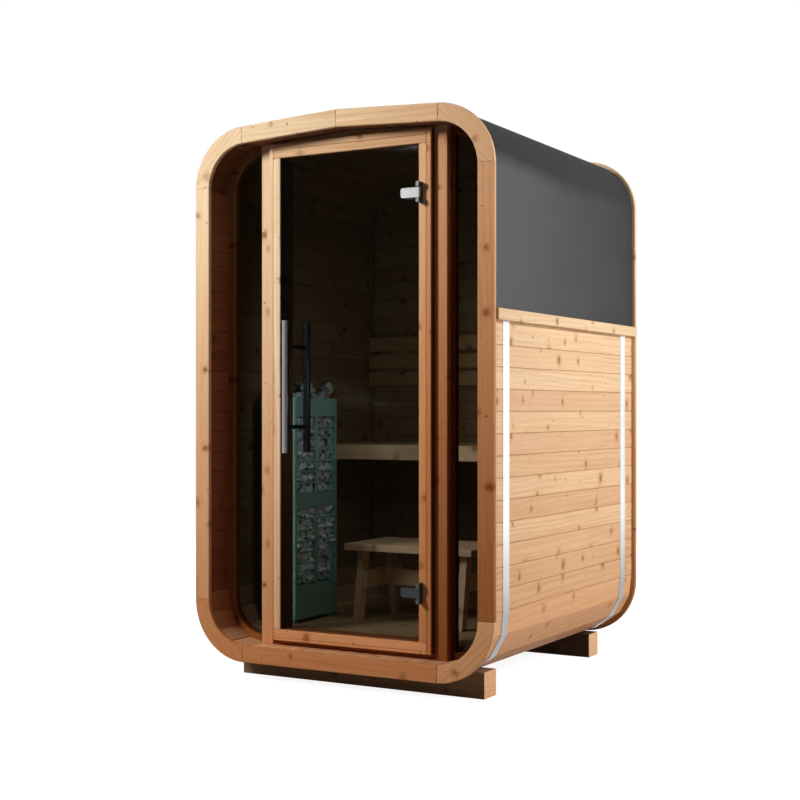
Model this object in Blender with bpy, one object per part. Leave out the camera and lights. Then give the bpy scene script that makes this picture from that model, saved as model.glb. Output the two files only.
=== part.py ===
# Outdoor sauna cabin with a rounded outline, a glass front and a hinged glass door.
# Metres, +Z up. X runs across the front, Y from the front (low) to the back, and the
# origin is on the ground under the middle of the cabin.

import bpy
import bmesh
from math import asin, cos, radians, sin, tan, pi
from mathutils import Matrix, Vector

# Cabin outline, as the front ring shows it
cabin_width = 1.26
cabin_depth = 1.37
outline_height = 2.0
corner_radius = 0.225
roof_slope = radians(2.9)
arc_steps = 16

# Timber shell and the rings at its two ends
stave_thickness = 0.042
ring_width = 0.063
ring_thickness = 0.018
ring_proud = 0.016
ring_corner_trim = 0.006
lower_corner_turn = radians(73)
lower_corner_staves = 3
upper_corner_staves = 4
lowest_wall_joint = 0.0255

# Base beams
beam_size = 0.094
beam_length = 1.034
beam_inset = 0.155
beam_seat_depth = 0.006

# Roof cover, the battens that hold its edges and the two steel bands
cover_thickness = 0.0025
batten_height = 0.040
batten_thickness = 0.022
batten_low = 1.320
cover_tuck = 0.015
band_width = 0.050
band_thickness = 0.0015
band_inset = 0.100
band_tuck = 0.010

# Front wall
porch_depth = 0.105
front_wall_depth = 0.060
post_width = 0.0515
header_under = 1.989
sill_setback = 0.030
casing_projection = 0.025
casing_depth = 0.088
casing_width = 0.0305
casing_edge_width = 0.0185
casing_groove_width = 0.002
casing_groove_depth = 0.003
door_side_bay = 0.334
door_opening_low = 0.1935
door_opening_high = 1.9555
casing_head_height = 0.053
casing_foot_height = 0.042
window_setback = 0.025
window_frame_depth = 0.035
window_frame_width = 0.028
window_bead_width = 0.014
pane_thickness = 0.006
pane_setback = 0.014

# Door leaf
leaf_thickness = 0.008
leaf_setback = 0.005
leaf_gap = 0.005
leaf_latch_gap = 0.006
hinge_axis_out = 0.011
hinge_axis_forward = 0.018
hinge_height_from_edge = 0.175
hinge_plate_height = 0.073
hinge_plate_width = 0.012
hinge_plate_depth = 0.031
hinge_pin_radius = 0.003
hinge_knuckle_radius = 0.006
hinge_clearance = 0.0012
clamp_height = 0.035
clamp_reach = 0.0735
clamp_over_pin = 0.002
clamp_rear_jaw = 0.012
clamp_plate_gap = 0.0025
clamp_boss_radius = 0.007
clamp_corner = 0.008
clamp_corner_steps = 4
handle_radius = 0.014
handle_length = 0.489
handle_centre_z = 1.0995
handle_from_edge = 0.0495
handle_standoff_out = 0.050
handle_standoff_in = 0.0845
spacer_radius = 0.008
spacer_spread = 0.298
spacer_sides = 12

# Back wall
rear_recess = 0.115
back_wall_thickness = 0.042

# Floor
floor_top = 0.180
floor_board_thickness = 0.022
bearer_width = 0.045
bearer_count = 3
bearer_spread = 0.9
bearer_end_gap = 0.020
floor_side_gap = 0.006

# Heater
heater_wall_gap = 0.041
heater_width = 0.168
heater_front_y = 0.277
heater_depth = 0.315
heater_height = 0.864
heater_foot = 0.015
heater_foot_size = 0.030
heater_foot_inset = 0.015
heater_corner = 0.012
heater_corner_steps = 3
heater_sheet = 0.003
heater_skirt = 0.128
heater_band = 0.054
heater_collar = 0.068
heater_rows = 7
heater_bar = 0.007
heater_post = 0.018
heater_cut_depth = 0.006
stone_bed_gap = 0.004
stone_bed_drop = 0.012

# Bench along the back wall and its backrest
bench_top = 0.871
bench_front_y = 0.660
bench_board = 0.028
bench_front_height = 0.059
cleat_height = 0.045
cleat_thickness = 0.028
slat_height = 0.062
slat_gap = 0.0155
slat_thickness = 0.022
slat_low = 1.120
backrest_cleat_width = 0.045
backrest_cleat_thickness = 0.022
backrest_cleat_x = 0.40
backrest_side_gap = 0.012

# Step stool
stool_top_z = 0.489
stool_left_x = -0.233
stool_width = 0.560
stool_front_y = 0.430
stool_depth = 0.340
stool_top_thickness = 0.026
stool_leg_width = 0.040
stool_leg_thickness = 0.028
stool_leg_inset = 0.040
stool_splay = 0.045
stool_rail_height = 0.068
stool_rail_thickness = 0.020
stool_rail_z = 0.350
stool_rail_setback = 0.030
stool_stretcher_height = 0.064

# Fits
touch = 0.0003
arris = 0.002
cutter_reach = 0.01
smooth_angle = radians(20)

# Worked out from the values above
half_width = cabin_width / 2
ring_low = beam_size - beam_seat_depth - ring_proud
corner_x = half_width - corner_radius
corner_low_z = ring_low + corner_radius
corner_high_z = ring_low + outline_height - corner_radius
stave_out = ring_proud
stave_in = ring_proud + stave_thickness
post_front_y = porch_depth
post_back_y = porch_depth + front_wall_depth
back_wall_front_y = cabin_depth - rear_recess - back_wall_thickness
back_wall_back_y = cabin_depth - rear_recess
casing_front_y = post_front_y - casing_projection
casing_back_y = casing_front_y + casing_depth
opening_x = half_width - door_side_bay
casing_inner_x = opening_x + casing_width
casing_x = casing_inner_x + casing_edge_width
casing_low_z = door_opening_low - casing_foot_height
casing_high_z = door_opening_high + casing_head_height
post_in_x = casing_x + touch
post_out_x = post_in_x + post_width
porch_floor_z = ring_low + stave_in


# Materials
def make_material(name, colour, roughness, metallic=0.0, alpha=1.0):
    material = bpy.data.materials.new(name)
    material.use_nodes = True
    shader = material.node_tree.nodes["Principled BSDF"]
    shader.inputs["Base Color"].default_value = (*colour, 1.0)
    shader.inputs["Roughness"].default_value = roughness
    shader.inputs["Metallic"].default_value = metallic
    shader.inputs["Alpha"].default_value = alpha
    return material


def make_materials():
    return {
        "trim": make_material("trim_wood", (0.62, 0.36, 0.18), 0.6),
        "stave": make_material("stave_wood", (0.72, 0.45, 0.24), 0.65),
        "inner": make_material("inner_wood", (0.50, 0.30, 0.16), 0.7),
        "cover": make_material("roof_sheet", (0.05, 0.05, 0.05), 0.8),
        "steel": make_material("satin_steel", (0.75, 0.75, 0.76), 0.3, 1.0),
        "dark_metal": make_material("dark_metal", (0.05, 0.05, 0.055), 0.4, 1.0),
        "glass": make_material("tinted_glass", (0.10, 0.08, 0.06), 0.05, 0.0, 0.35),
        "heater": make_material("heater_steel", (0.20, 0.30, 0.30), 0.4, 0.9),
        "stone": make_material("heater_stone", (0.30, 0.31, 0.31), 0.85),
    }


# Making objects
def add_object(name, bm, material):
    bmesh.ops.recalc_face_normals(bm, faces=bm.faces)
    mesh = bpy.data.meshes.new(name)
    bm.to_mesh(mesh)
    bm.free()
    mesh.materials.append(material)
    mesh.shade_smooth()
    mesh.set_sharp_from_angle(angle=smooth_angle)
    thing = bpy.data.objects.new(name, mesh)
    bpy.context.scene.collection.objects.link(thing)
    return thing


def soften(thing, width=arris, segments=1):
    bevel = thing.modifiers.new("Arris", "BEVEL")
    bevel.width = width
    bevel.segments = segments
    bevel.limit_method = "ANGLE"
    bevel.angle_limit = radians(40)
    return thing


def add_block(bm, low, high):
    size = Vector(high) - Vector(low)
    middle = (Vector(high) + Vector(low)) / 2
    place = Matrix.Translation(middle) @ Matrix.Diagonal((*size, 1.0))
    bmesh.ops.create_cube(bm, size=1.0, matrix=place)


def make_box(name, low, high, material):
    bm = bmesh.new()
    add_block(bm, low, high)
    return add_object(name, bm, material)


# A flat outline in the XZ plane, extruded along Y
def make_prism(name, outline, front_y, back_y, material):
    bm = bmesh.new()
    face = bm.faces.new([bm.verts.new((x, front_y, z)) for x, z in outline])
    grown = bmesh.ops.extrude_face_region(bm, geom=[face])
    moved = [item for item in grown["geom"] if isinstance(item, bmesh.types.BMVert)]
    bmesh.ops.translate(bm, verts=moved, vec=(0.0, back_y - front_y, 0.0))
    return add_object(name, bm, material)


# A flat outline in the YZ plane, extruded along X
def make_crosswise(name, outline, left_x, right_x, material):
    bm = bmesh.new()
    face = bm.faces.new([bm.verts.new((left_x, y, z)) for y, z in outline])
    grown = bmesh.ops.extrude_face_region(bm, geom=[face])
    moved = [item for item in grown["geom"] if isinstance(item, bmesh.types.BMVert)]
    bmesh.ops.translate(bm, verts=moved, vec=(right_x - left_x, 0.0, 0.0))
    return add_object(name, bm, material)


def make_cylinder(name, start, end, radius, material, sides=24):
    axis = Vector(end) - Vector(start)
    turn = Vector((0, 0, 1)).rotation_difference(axis).to_matrix().to_4x4()
    place = Matrix.Translation((Vector(start) + Vector(end)) / 2) @ turn
    bm = bmesh.new()
    bmesh.ops.create_cone(bm, cap_ends=True, segments=sides, radius1=radius, radius2=radius,
                          depth=axis.length, matrix=place)
    return add_object(name, bm, material)


def hide_cutter(cutter):
    cutter.hide_render = True
    cutter.display_type = "WIRE"
    cutter.hide_set(True)
    return cutter


def add_boolean(thing, other, operation):
    boolean = thing.modifiers.new(operation.title(), "BOOLEAN")
    boolean.operation = operation
    boolean.solver = "EXACT"
    boolean.object = hide_cutter(other)
    return thing


# The rounded outline. An inset of 0 is the outer edge of the rings, and a larger inset
# lies further inside, on the same corner centres.
def roof_peak_z(inset):
    return corner_high_z + (corner_radius - inset) / cos(roof_slope) + corner_x * tan(roof_slope)


def roof_line_z(inset, x):
    return roof_peak_z(inset) - abs(x) * tan(roof_slope)


def arc(centre_x, centre_z, radius, start, end):
    angles = [start + (end - start) * step / arc_steps for step in range(arc_steps + 1)]
    return [(centre_x + radius * cos(angle), centre_z + radius * sin(angle)) for angle in angles]


def side_mirror(outline, side):
    return [(side * x, z) for x, z in outline]


# One corner of the front ring. The seams lie a little inside the curve at its lower end.
def corner_outline(outer, inner, top):
    centre_z = corner_high_z if top else corner_low_z
    end = pi / 2 - roof_slope if top else 0.0

    def edge(inset):
        radius = corner_radius - inset
        start = asin(ring_corner_trim / radius) - (0.0 if top else pi / 2)
        return arc(corner_x, centre_z, radius, start, end)

    return edge(outer) + edge(inner)[::-1]


def side_outline(outer, inner):
    low = corner_low_z + touch
    high = corner_high_z + ring_corner_trim - touch
    return [(half_width - outer, low), (half_width - outer, high),
            (half_width - inner, high), (half_width - inner, low)]


def bottom_outline(outer, inner):
    reach = corner_x + ring_corner_trim - touch
    return [(-reach, ring_low + outer), (reach, ring_low + outer),
            (reach, ring_low + inner), (-reach, ring_low + inner)]


def roof_end(inset):
    radius = corner_radius - inset
    along = Vector((-cos(roof_slope), sin(roof_slope)))
    tangent = Vector((corner_x + radius * sin(roof_slope), corner_high_z + radius * cos(roof_slope)))
    return tangent + along * touch


def roof_half_outline(outer, inner):
    middle = touch / 2
    return [tuple(roof_end(outer)), (middle, roof_line_z(outer, middle)),
            (middle, roof_line_z(inner, middle)), tuple(roof_end(inner))]


# The staves are flat, so the shell's outline is a row of flats inside the rings' rounded one.
# It runs from the right end of the floor up the right side, over the ridge and down the left.
def stave_line():
    radius = corner_radius - ring_proud
    right = []
    for step in range(lower_corner_staves + 1):
        angle = lower_corner_turn * step / lower_corner_staves
        right.append((corner_x + radius * sin(angle), corner_low_z - radius * cos(angle)))
    right.append((corner_x + radius, corner_low_z + lowest_wall_joint))
    for step in range(upper_corner_staves + 1):
        angle = (pi / 2 - roof_slope) * step / upper_corner_staves
        right.append((corner_x + radius * cos(angle), corner_high_z + radius * sin(angle)))
    left = [(-x, z) for x, z in reversed(right)]
    return right + [(0.0, roof_peak_z(ring_proud))] + left


# The same row of flats at another inset from the edge of the rings
def shell_line(inset):
    line = [Vector(point) for point in stave_line()]
    moved = []
    for index, here in enumerate(line):
        arriving = (here - line[index - 1]).normalized()
        leaving = (line[(index + 1) % len(line)] - here).normalized()
        first = Vector((-arriving.y, arriving.x))
        second = Vector((-leaving.y, leaving.x))
        inward = (first + second).normalized()
        moved.append(tuple(here + inward * (inset - ring_proud) / inward.dot(first)))
    return moved


lower_count = lower_corner_staves + 1
upper_count = upper_corner_staves
wall_low_index = lower_count
wall_high_index = lower_count + 1
roof_index = wall_high_index + upper_count


# A run of staves between two joints, with its ends drawn back where the next run meets them
def stave_run(first, last, gap=0.0):
    outside, inside = shell_line(stave_out), shell_line(stave_in)
    count = len(outside)
    rows = []
    for line in (outside, inside):
        row = [Vector(line[index % count]) for index in range(first, last + 1)]
        start = (row[1] - row[0]).normalized() * gap
        end = (row[-2] - row[-1]).normalized() * gap
        row[0] = row[0] + start
        row[-1] = row[-1] + end
        rows.append([tuple(point) for point in row])
    return rows[0] + rows[1][::-1]


# Part of the shell's outline on the right of a given distance from the middle
def shell_slice(inset, inner_x):
    line = shell_line(inset)
    right = [(0.0, line[0][1])] + line[:roof_index + 2]
    kept = []
    for start, end in zip(right, right[1:]):
        crosses = (start[0] - inner_x) * (end[0] - inner_x) < 0
        if start[0] >= inner_x:
            kept.append(start)
        if crosses:
            share = (inner_x - start[0]) / (end[0] - start[0])
            kept.append((inner_x, start[1] + (end[1] - start[1]) * share))
    return kept


# Underside of the roof, out to the same distance on both sides of the ridge
def shell_top(inset, reach):
    line = shell_line(inset)[wall_high_index:roof_index + 2]
    right = []
    for start, end in zip(line, line[1:]):
        if start[0] > reach >= end[0]:
            share = (start[0] - reach) / (start[0] - end[0])
            right.append((reach, start[1] + (end[1] - start[1]) * share))
        if end[0] < reach:
            right.append(end)
    return right + side_mirror(right[-2::-1], -1)


def inside_half_width(z):
    line = shell_line(stave_in)
    for start, end in zip(line, line[1:]):
        if start[1] <= z <= end[1]:
            return start[0] + (end[0] - start[0]) * (z - start[1]) / (end[1] - start[1])
    return half_width - stave_in


# Base beams, hollowed on top where the floor staves sit in them
def build_beams(materials):
    places = {"front_beam": beam_inset, "rear_beam": cabin_depth - beam_inset - beam_size}
    for name, front_y in places.items():
        beam = make_box(name, (-beam_length / 2, front_y, 0.0),
                        (beam_length / 2, front_y + beam_size, beam_size), materials["trim"])
        seat = make_prism(name + "_seat", shell_line(stave_out - touch), front_y - cutter_reach,
                          front_y + beam_size + cutter_reach, materials["trim"])
        add_boolean(beam, seat, "DIFFERENCE")


# Timber shell: floor, sides, four corners of bevelled staves and a crowned roof, between the rings
def build_shell(materials):
    front_y = ring_thickness + touch
    back_y = cabin_depth - ring_thickness - touch
    stave = materials["stave"]
    floor_end = 2 * roof_index + 2
    make_prism("floor_staves", stave_run(floor_end, floor_end + 1, touch), front_y, back_y, stave)
    make_prism("roof_staves", stave_run(roof_index, roof_index + 2, touch), front_y, back_y, stave)
    for side, word in ((-1, "left"), (1, "right")):
        wall = side_mirror(stave_run(wall_low_index, wall_high_index, touch), side)
        make_prism(word + "_wall_staves", wall, front_y, back_y, stave)
        lower = side_mirror(stave_run(0, wall_low_index), side)
        make_prism(f"lower_{word}_corner_staves", lower, front_y, back_y, stave)
        upper = side_mirror(stave_run(wall_high_index, roof_index), side)
        make_prism(f"upper_{word}_corner_staves", upper, front_y, back_y, stave)


# Front ring in its nine pieces, with the seams that the joints leave
def build_front_ring(materials):
    pieces = {
        "front_ring_bottom": bottom_outline(0.0, ring_width),
        "front_ring_right_side": side_outline(0.0, ring_width),
        "front_ring_left_side": side_mirror(side_outline(0.0, ring_width), -1),
        "front_ring_top_right": roof_half_outline(0.0, ring_width),
        "front_ring_top_left": side_mirror(roof_half_outline(0.0, ring_width), -1),
        "front_ring_lower_right_corner": corner_outline(0.0, ring_width, False),
        "front_ring_lower_left_corner": side_mirror(corner_outline(0.0, ring_width, False), -1),
        "front_ring_upper_right_corner": corner_outline(0.0, ring_width, True),
        "front_ring_upper_left_corner": side_mirror(corner_outline(0.0, ring_width, True), -1),
    }
    for name, outline in pieces.items():
        soften(make_prism(name, outline, 0.0, ring_thickness, materials["trim"]))


# Rear ring, glued up as a left and a right half
def build_rear_ring(materials):
    radius = corner_radius
    middle = touch / 2
    for side, word in ((-1, "left"), (1, "right")):
        outside = [(middle, ring_low)]
        outside += arc(corner_x, corner_low_z, radius, -pi / 2, 0.0)
        outside += arc(corner_x, corner_high_z, radius, 0.0, pi / 2 - roof_slope)
        outside.append((middle, roof_line_z(0.0, middle)))
        inside = [(middle, ring_low + ring_width)]
        inside += arc(corner_x, corner_low_z, radius - ring_width, -pi / 2, 0.0)
        inside += arc(corner_x, corner_high_z, radius - ring_width, 0.0, pi / 2 - roof_slope)
        inside.append((middle, roof_line_z(ring_width, middle)))
        outline = side_mirror(outside + inside[::-1], side)
        ring = make_prism("rear_ring_" + word, outline, cabin_depth - ring_thickness, cabin_depth,
                          materials["trim"])
        soften(ring)


# Roof cover, draped over the roof and down the sides to the battens
def build_cover(materials):
    inner = stave_out - touch
    outer = inner - cover_thickness
    low_z = batten_low + batten_height - cover_tuck

    def half(inset):
        line = [(half_width - inset, low_z)]
        line += arc(corner_x, corner_high_z, corner_radius - inset, 0.0, pi / 2 - roof_slope)
        return line

    outside = half(outer) + [(0.0, roof_peak_z(outer))] + side_mirror(half(outer)[::-1], -1)
    inside = half(inner) + [(0.0, roof_peak_z(inner))] + side_mirror(half(inner)[::-1], -1)
    make_prism("roof_cover", outside + inside[::-1], ring_thickness + touch,
               cabin_depth - ring_thickness - touch, materials["cover"])


# Battens that clamp the edges of the cover along both sides
def build_battens(materials):
    inner_x = half_width - stave_out + touch + cover_thickness + touch
    for side, word in ((-1, "left"), (1, "right")):
        ends = sorted((side * inner_x, side * (inner_x + batten_thickness)))
        batten = make_box(f"{word}_batten", (ends[0], ring_thickness + touch, batten_low),
                          (ends[1], cabin_depth - ring_thickness - touch,
                           batten_low + batten_height), materials["trim"])
        soften(batten)


# Steel bands round the lower part of the shell, with their ends under the battens
def build_bands(materials):
    high_z = batten_low + band_tuck
    inner = stave_out - touch
    outer = inner - band_thickness

    def half(inset):
        return shell_line(inset)[:wall_low_index + 1] + [(half_width - inset, high_z)]

    outside = side_mirror(half(outer)[::-1], -1) + half(outer)
    inside = side_mirror(half(inner)[::-1], -1) + half(inner)
    places = {"front_band": band_inset, "rear_band": cabin_depth - band_inset - band_width}
    for name, front_y in places.items():
        make_prism(name, outside + inside[::-1], front_y, front_y + band_width, materials["steel"])


# Back wall, one closed panel set in from the rear ring
def build_back_wall(materials):
    make_prism("back_wall", shell_line(stave_in + touch), back_wall_front_y, back_wall_back_y,
               materials["inner"])


# Front wall posts, header and sill between the shell and the door casing
def build_front_wall(materials):
    trim = materials["trim"]
    for side, word in ((-1, "left"), (1, "right")):
        ends = sorted((side * post_in_x, side * post_out_x))
        post = make_box(f"{word}_post", (ends[0], post_front_y, porch_floor_z + touch),
                        (ends[1], post_back_y, header_under), trim)
        soften(post)
    under = [(post_in_x, casing_high_z + touch), (post_in_x, header_under + touch),
             (post_out_x, header_under + touch)]
    outline = under + shell_top(stave_in + touch, post_out_x) + side_mirror(under[::-1], -1)
    make_prism("front_wall_header", outline, post_front_y, post_back_y, trim)
    make_box("front_wall_sill", (-casing_x, post_front_y + sill_setback, porch_floor_z + touch),
             (casing_x, post_back_y, casing_low_z - touch), trim)


# Door casing: two stiles between a head and a foot rail, with a narrow board up each side
def build_casing(materials):
    trim = materials["trim"]
    build_casing_rail("casing_head", door_opening_high, casing_high_z,
                      door_opening_high + casing_width, trim)
    build_casing_rail("casing_foot", casing_low_z, door_opening_low,
                      door_opening_low - casing_width, trim)
    for side, word in ((-1, "left"), (1, "right")):
        ends = sorted((side * opening_x, side * casing_inner_x))
        soften(make_box(f"casing_{word}_stile", (ends[0], casing_front_y, door_opening_low + touch),
                        (ends[1], casing_back_y, door_opening_high - touch), trim))
        ends = sorted((side * (casing_inner_x + touch), side * casing_x))
        soften(make_box(f"casing_{word}_edge", (ends[0], casing_front_y, casing_low_z),
                        (ends[1], casing_back_y, casing_high_z), trim))


# Rail of the casing, with a groove along its front face
def build_casing_rail(name, low_z, high_z, groove_z, material):
    rail = make_box(name, (-casing_inner_x, casing_front_y, low_z),
                    (casing_inner_x, casing_back_y, high_z), material)
    soften(rail)
    half_groove = casing_groove_width / 2
    groove = make_box(name + "_groove",
                      (-casing_x, casing_front_y - cutter_reach, groove_z - half_groove),
                      (casing_x, casing_front_y + casing_groove_depth, groove_z + half_groove), material)
    add_boolean(rail, groove, "DIFFERENCE")


# Opening of a side window: rounded beside the shell, with a straight edge beside the post
def window_outline(inset, inner_x):
    radius = corner_radius - inset
    points = arc(corner_x, corner_low_z, radius, -pi / 2, 0.0)
    points += arc(corner_x, corner_high_z, radius, 0.0, pi / 2 - roof_slope)
    if inner_x < corner_x:
        return [(inner_x, ring_low + inset)] + points + [(inner_x, roof_line_z(inset, inner_x))]
    points = [(x, z) for x, z in points if x > inner_x + touch]
    lift = (radius ** 2 - (inner_x - corner_x) ** 2) ** 0.5
    return [(inner_x, corner_low_z - lift)] + points + [(inner_x, corner_high_z + lift)]


def build_windows(materials):
    front_y = post_front_y + window_setback
    back_y = front_y + window_frame_depth
    outer = stave_in + touch
    inner = outer + window_frame_width
    frame_x = post_out_x + touch
    bead_x = frame_x + window_bead_width
    for side, word in ((-1, "left"), (1, "right")):
        frame = make_prism(f"{word}_window_frame", side_mirror(shell_slice(outer, frame_x), side),
                           front_y, back_y, materials["trim"])
        hole = make_prism(f"{word}_window_hole", side_mirror(window_outline(inner, bead_x), side),
                          front_y - cutter_reach, back_y + cutter_reach, materials["trim"])
        add_boolean(frame, hole, "DIFFERENCE")
        pane_y = front_y + pane_setback
        make_prism(f"{word}_window_pane",
                   side_mirror(window_outline(inner + touch, bead_x + touch), side),
                   pane_y, pane_y + pane_thickness, materials["glass"])


# Hinged glass leaf with its clamps and pull handles, all carried by one axis
def build_door(materials):
    steel = materials["steel"]
    axis = Vector((opening_x + hinge_axis_out, casing_front_y - hinge_axis_forward, 0.0))
    leaf_y = casing_front_y + leaf_setback
    leaf_x = (-opening_x + leaf_latch_gap, opening_x - leaf_gap)
    leaf_z = (door_opening_low + leaf_gap, door_opening_high - leaf_gap)
    leaf = make_box("door_glass", (leaf_x[0], leaf_y, leaf_z[0]),
                    (leaf_x[1], leaf_y + leaf_thickness, leaf_z[1]), materials["glass"])
    moving = [leaf]
    heights = {"lower": door_opening_low + hinge_height_from_edge,
               "upper": door_opening_high - hinge_height_from_edge}
    for word, middle_z in heights.items():
        clamp, boss_x = build_clamp(word, middle_z, axis, leaf_x[1], leaf_y, steel)
        hole = make_cylinder(f"{word}_glass_hole", (boss_x, leaf_y - cutter_reach, middle_z),
                             (boss_x, leaf_y + leaf_thickness + cutter_reach, middle_z),
                             clamp_boss_radius + touch, materials["glass"])
        add_boolean(leaf, hole, "DIFFERENCE")
        moving.append(clamp)
        build_hinge_plate(word, middle_z, axis, materials["dark_metal"])
    bar_x = leaf_x[0] + handle_from_edge
    moving.append(build_handle("outer", bar_x, leaf_y, -handle_standoff_out, steel))
    moving.append(build_handle("inner", bar_x, leaf_y + leaf_thickness, handle_standoff_in, steel))
    hang_on_pivot(moving, axis)


# Straight tube held off one face of the glass by two spacers
def build_handle(word, bar_x, face_y, standoff, material):
    bar_y = face_y + standoff
    start_y = face_y + (touch if standoff > 0 else -touch)
    bar = make_cylinder(f"{word}_handle", (bar_x, bar_y, handle_centre_z - handle_length / 2),
                        (bar_x, bar_y, handle_centre_z + handle_length / 2), handle_radius, material)
    for end, place in ((-1, "low"), (1, "high")):
        z = handle_centre_z + end * spacer_spread / 2
        spacer = make_cylinder(f"{word}_{place}_spacer", (bar_x, start_y, z), (bar_x, bar_y, z),
                               spacer_radius, material, spacer_sides)
        add_boolean(bar, spacer, "UNION")
    return bar


def hang_on_pivot(moving, axis):
    pivot = bpy.data.objects.new("door_pivot", None)
    pivot.location = axis
    bpy.context.scene.collection.objects.link(pivot)
    for thing in moving:
        thing.parent = pivot
        thing.matrix_parent_inverse = Matrix.Translation(-axis)


# Clamp in two jaws joined by a boss through the glass, with the knuckle that turns on the pin
def build_clamp(word, middle_z, axis, glass_edge_x, leaf_y, material):
    left_x = axis.x - clamp_reach
    low, high = middle_z - clamp_height / 2, middle_z + clamp_height / 2
    jaw_front = axis.y - clamp_over_pin
    jaw_back = leaf_y - touch
    rear_front = leaf_y + leaf_thickness + touch
    outline = rounded_end_outline(left_x, glass_edge_x, low, high, clamp_corner)
    clamp = make_prism(f"{word}_clamp", outline, jaw_front, jaw_back, material)
    rear_jaw = make_prism(f"{word}_clamp_rear_jaw", outline, rear_front,
                          rear_front + clamp_rear_jaw, material)
    boss_x = (left_x + glass_edge_x) / 2
    boss = make_cylinder(f"{word}_clamp_boss", (boss_x, jaw_back - arris, middle_z),
                         (boss_x, rear_front + arris, middle_z), clamp_boss_radius, material)
    arm_end_x = axis.x - hinge_plate_width / 2 - clamp_plate_gap
    arm = make_box(f"{word}_clamp_arm", (glass_edge_x - arris, jaw_front + touch, low + touch),
                   (arm_end_x, casing_front_y - leaf_gap, high - touch), material)
    neck = make_box(f"{word}_clamp_neck",
                    (glass_edge_x, axis.y - hinge_pin_radius, low + 2 * touch),
                    (axis.x, axis.y + hinge_pin_radius, high - 2 * touch), material)
    knuckle = make_cylinder(f"{word}_clamp_knuckle", (axis.x, axis.y, low), (axis.x, axis.y, high),
                            hinge_knuckle_radius, material)
    for piece in (boss, rear_jaw, arm, neck, knuckle):
        add_boolean(clamp, piece, "UNION")
    bore = make_cylinder(f"{word}_clamp_bore", (axis.x, axis.y, low - cutter_reach),
                         (axis.x, axis.y, high + cutter_reach), hinge_pin_radius + touch, material)
    add_boolean(clamp, bore, "DIFFERENCE")
    return clamp, boss_x


def rounded_end_outline(left_x, right_x, low, high, radius):
    outline = [(right_x, low), (right_x, high)]
    for centre_z, start in ((high - radius, pi / 2), (low + radius, pi)):
        for step in range(clamp_corner_steps + 1):
            angle = start + pi / 2 * step / clamp_corner_steps
            outline.append((left_x + radius + radius * cos(angle), centre_z + radius * sin(angle)))
    return outline


# Plate on the casing that carries the pin between two lugs
def build_hinge_plate(word, middle_z, axis, material):
    low, high = middle_z - hinge_plate_height / 2, middle_z + hinge_plate_height / 2
    back_y = casing_front_y - touch
    front_y = back_y - hinge_plate_depth
    plate = make_box(f"{word}_hinge_plate", (axis.x - hinge_plate_width / 2, front_y, low),
                     (axis.x + hinge_plate_width / 2, back_y, high), material)
    notch_back_y = axis.y + hinge_knuckle_radius + hinge_clearance
    half_notch = clamp_height / 2 + hinge_clearance
    notch = make_box(f"{word}_hinge_notch",
                     (axis.x - hinge_plate_width, front_y - cutter_reach, middle_z - half_notch),
                     (axis.x + hinge_plate_width, notch_back_y, middle_z + half_notch), material)
    add_boolean(plate, notch, "DIFFERENCE")
    pin = make_cylinder(f"{word}_hinge_pin", (axis.x, axis.y, low + arris), (axis.x, axis.y, high - arris),
                        hinge_pin_radius, material)
    add_boolean(plate, pin, "UNION")


# Floor panel of boards on bearers that stand on the floor staves
def build_floor(materials):
    low_z = floor_top - floor_board_thickness
    reach = inside_half_width(low_z) - floor_side_gap
    front_y = casing_back_y + touch
    back_y = back_wall_front_y - touch
    panel = make_box("floor_panel", (-reach, front_y, low_z), (reach, back_y, floor_top),
                     materials["inner"])
    for index in range(bearer_count):
        x = (index - (bearer_count - 1) / 2) * corner_x * bearer_spread
        bearer = make_box(f"floor_bearer_{index + 1}",
                          (x - bearer_width / 2, front_y + bearer_end_gap, porch_floor_z + touch),
                          (x + bearer_width / 2, back_y - bearer_end_gap, low_z + touch),
                          materials["inner"])
        add_boolean(panel, bearer, "UNION")


# Heater: a sheet steel tower with open rows at the sides, filled with stones
def build_heater(materials):
    steel = materials["heater"]
    left = -(half_width - stave_in) + heater_wall_gap
    right = left + heater_width
    front, back = heater_front_y, heater_front_y + heater_depth
    low = floor_top + heater_foot
    high = low + heater_height
    tower = make_box("heater_cage", (left, front, low), (right, back, high), steel)
    round_upright_edges(tower)
    hollow = make_box("heater_hollow", (left + heater_sheet, front + heater_sheet, low + heater_skirt),
                      (right - heater_sheet, back - heater_sheet, high + cutter_reach), steel)
    add_boolean(tower, hollow, "DIFFERENCE")
    add_boolean(tower, make_heater_slots(left, right, front, back, low, steel), "DIFFERENCE")
    add_heater_feet(tower, left, right, front, back, low, steel)
    inside = heater_sheet + stone_bed_gap
    make_box("heater_stones", (left + inside, front + inside, low + heater_skirt + touch),
             (right - inside, back - inside, high - stone_bed_drop), materials["stone"])


def round_upright_edges(tower):
    rounding = tower.modifiers.new("Corners", "BEVEL")
    rounding.width = heater_corner
    rounding.segments = heater_corner_steps
    rounding.limit_method = "WEIGHT"
    weights = tower.data.attributes.new("bevel_weight_edge", "FLOAT", "EDGE")
    for edge in tower.data.edges:
        a, b = (tower.data.vertices[index].co for index in edge.vertices)
        weights.data[edge.index].value = 1.0 if abs(a.z - b.z) > heater_band else 0.0


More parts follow.
